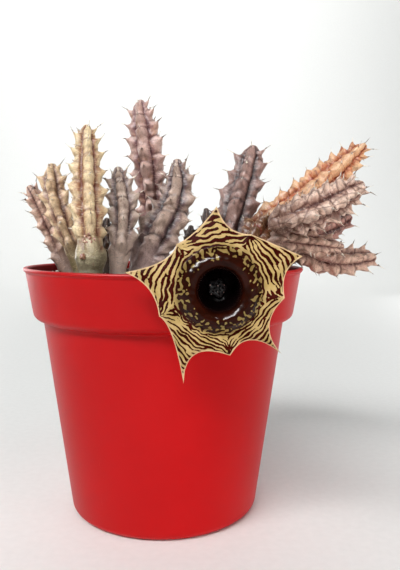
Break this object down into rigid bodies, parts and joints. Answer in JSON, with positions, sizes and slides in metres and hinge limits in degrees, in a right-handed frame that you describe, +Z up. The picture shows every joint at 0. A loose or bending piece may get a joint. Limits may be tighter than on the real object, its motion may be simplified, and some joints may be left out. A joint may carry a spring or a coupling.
{
  "type": "potted lifesaver plant",
  "caption": "Toothed, five-ribbed succulent stems and a striped, ringed star bloom in a round plastic nursery pot.",
  "frame": {"origin": "centre of the pot's flat underside", "axes": "+Z up; the bloom faces -Y; the branched stem leans out towards +X"},
  "size_m": [0.1163, 0.1018, 0.1329],
  "materials": {
    "pot_plastic": "satin",
    "soil": "matte",
    "stem_mauve": "satin",
    "stem_tan": "satin",
    "stem_dark": "matte",
    "stem_orange": "satin",
    "petal": "satin",
    "corona": "satin",
    "stalk": "satin"
  },
  "bodies": {
    "root": {"pot": "pot_plastic", "soil": "soil", "stem_left_outer": "stem_mauve", "stem_left_curved": "stem_tan", "stem_left_tall": "stem_tan", "stem_left_short": "stem_dark", "stem_centre_slim": "stem_mauve", "stem_centre_tall": "stem_mauve", "stem_centre_broad": "stem_mauve", "stem_centre_short": "stem_dark", "stem_middle_dark": "stem_dark", "stem_middle_short": "stem_dark", "stem_right_branched": "stem_orange", "stem_right_trailing": "stem_mauve", "flower_corolla": "petal", "flower_corona": "corona", "flower_stalk": "stalk"}
  },
  "joints": []
}
